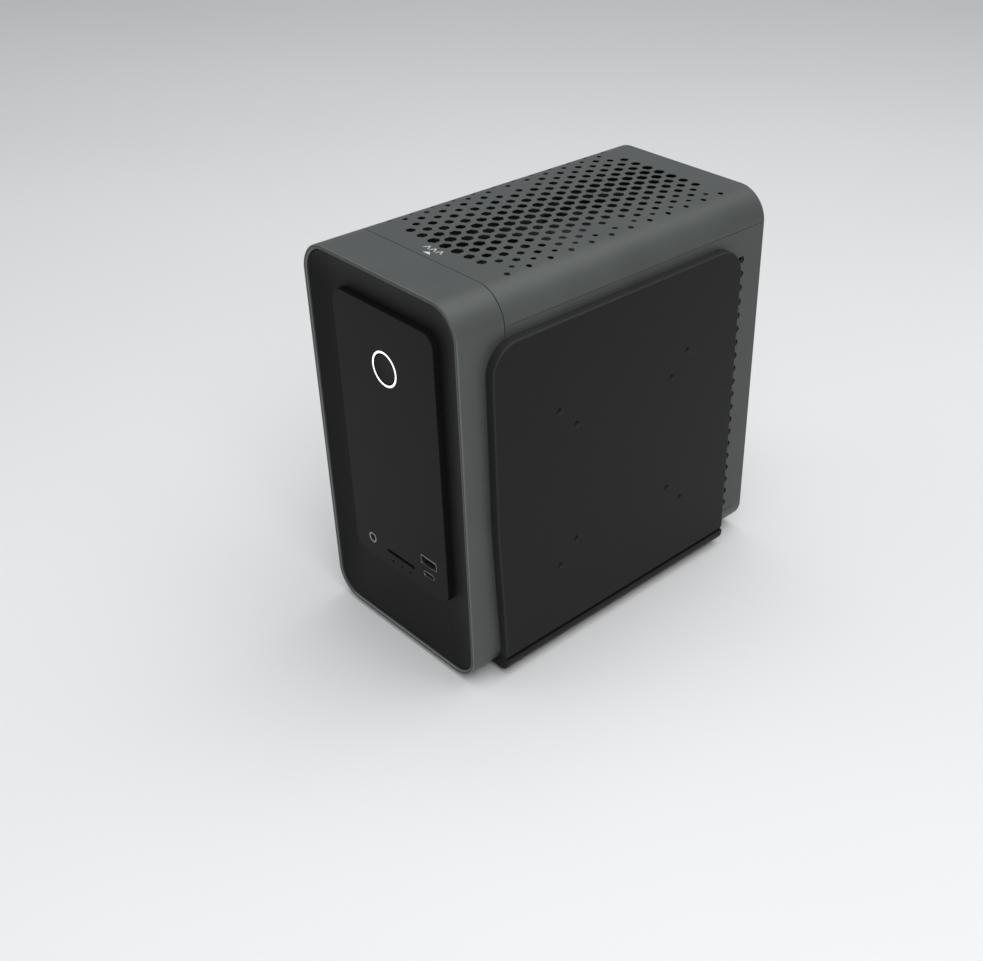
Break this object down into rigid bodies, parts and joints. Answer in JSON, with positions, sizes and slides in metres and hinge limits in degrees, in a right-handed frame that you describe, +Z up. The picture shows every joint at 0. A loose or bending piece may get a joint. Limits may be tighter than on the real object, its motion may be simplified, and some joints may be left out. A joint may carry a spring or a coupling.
{
  "type": "mini pc",
  "caption": "Upright mini computer in a rounded dark metal enclosure, with a dished front, hexagonal top vents, a sliding top cover, a side mounting plate and cooling fans.",
  "frame": {"origin": "centre of the underside of the bounding box, on the surface that the feet stand on", "axes": "+Z up, -Y out of the front panel, +X out of the side mounting plate"},
  "size_m": [0.132, 0.233, 0.233],
  "materials": {
    "shell": "fine bead-blasted dark grey finish with a soft sheen",
    "side_sheet": "fine-textured dark grey powder coat",
    "front_plastic": "fine spark-eroded black moulding",
    "light_guide": "lit translucent white",
    "socket_metal": "bright nickel-plated shell",
    "black_plastic": "satin black moulding",
    "circuit_board": "dark solder mask",
    "plate_paint": "satin black anodised",
    "rear_paint": "fine-textured black powder coat",
    "zinc_steel": "zinc-plated sheet and screws",
    "fin_metal": "mill-finish extruded fins",
    "foot_rubber": "dull black"
  },
  "bodies": {
    "enclosure": {"front_band": "shell", "bottom_cover": "shell", "left_side_panel": "side_sheet", "right_side_panel": "side_sheet", "front_bezel": "front_plastic", "front_panel": "front_plastic", "power_ring": "light_guide", "status_led_1": "light_guide", "status_led_2": "light_guide", "status_led_3": "light_guide", "headset_jack": "socket_metal", "usb_a_port": "socket_metal", "usb_c_port": "socket_metal", "lan_port": "socket_metal", "usb_stack_1": "socket_metal", "usb_stack_2": "socket_metal", "display_sockets": "socket_metal", "graphics_outputs": "socket_metal", "card_slot": "black_plastic", "audio_jacks": "black_plastic", "power_inlet": "black_plastic", "cpu_fan_frame": "black_plastic", "top_fan_1_frame": "black_plastic", "top_fan_2_frame": "black_plastic", "graphics_cooler": "black_plastic", "solid_state_drive": "black_plastic", "front_io_board": "circuit_board", "power_switch": "circuit_board", "motherboard": "circuit_board", "memory_1": "circuit_board", "memory_2": "circuit_board", "graphics_board": "circuit_board", "riser_board": "circuit_board", "side_plate": "plate_paint", "rear_panel": "rear_paint", "chassis_frame": "zinc_steel", "fan_bracket": "zinc_steel", "io_shield": "zinc_steel", "graphics_bracket": "zinc_steel", "power_supply": "zinc_steel", "rear_screw_1": "zinc_steel", "rear_screw_2": "zinc_steel", "rear_screw_3": "zinc_steel", "rear_screw_4": "zinc_steel", "cpu_heatsink": "fin_metal", "foot_1": "foot_rubber", "foot_2": "foot_rubber", "foot_3": "foot_rubber", "foot_4": "foot_rubber"},
    "power_button": {"power_button": "front_plastic"},
    "top_cover": {"top_cover": "shell"},
    "thumbscrew_1": {"thumbscrew_1": "zinc_steel"},
    "thumbscrew_2": {"thumbscrew_2": "zinc_steel"},
    "top_fan_1_rotor": {"top_fan_1_rotor": "black_plastic"},
    "top_fan_2_rotor": {"top_fan_2_rotor": "black_plastic"},
    "cpu_fan_rotor": {"cpu_fan_rotor": "black_plastic"},
    "graphics_fan_rotor": {"graphics_fan_rotor": "black_plastic"},
    "power_supply_fan_rotor": {"power_supply_fan_rotor": "black_plastic"}
  },
  "joints": [
    {"name": "power_button_press", "type": "slide", "parent": "enclosure", "child": "power_button", "axis": [0, 1, 0], "range_m": [0, 0.0008], "stiffness_N_per_m": 800},
    {"name": "cover_slide", "type": "slide", "parent": "enclosure", "child": "top_cover", "axis": [0, 1, 0], "range_m": [0, 0.014]},
    {"name": "thumbscrew_1_turn", "type": "hinge", "parent": "top_cover", "child": "thumbscrew_1", "pos_m": [-0.043, 0.112, 0.2235], "axis": [0, 1, 0], "continuous": true},
    {"name": "thumbscrew_2_turn", "type": "hinge", "parent": "top_cover", "child": "thumbscrew_2", "pos_m": [0.037, 0.112, 0.2235], "axis": [0, 1, 0], "continuous": true},
    {"name": "top_fan_1_spin", "type": "hinge", "parent": "enclosure", "child": "top_fan_1_rotor", "pos_m": [-0.003, -0.037, 0.203], "axis": [0, 0, 1], "continuous": true},
    {"name": "top_fan_2_spin", "type": "hinge", "parent": "enclosure", "child": "top_fan_2_rotor", "pos_m": [-0.003, 0.056, 0.203], "axis": [0, 0, 1], "continuous": true},
    {"name": "cpu_fan_spin", "type": "hinge", "parent": "enclosure", "child": "cpu_fan_rotor", "pos_m": [-0.019, 0.0125, 0.134], "axis": [1, 0, 0], "continuous": true},
    {"name": "graphics_fan_spin", "type": "hinge", "parent": "enclosure", "child": "graphics_fan_rotor", "pos_m": [0.044, 0.0035, 0.134], "axis": [1, 0, 0], "continuous": true},
    {"name": "power_supply_fan_spin", "type": "hinge", "parent": "enclosure", "child": "power_supply_fan_rotor", "pos_m": [-0.0215, 0.0975, 0.0285], "axis": [0, 1, 0], "continuous": true}
  ]
}
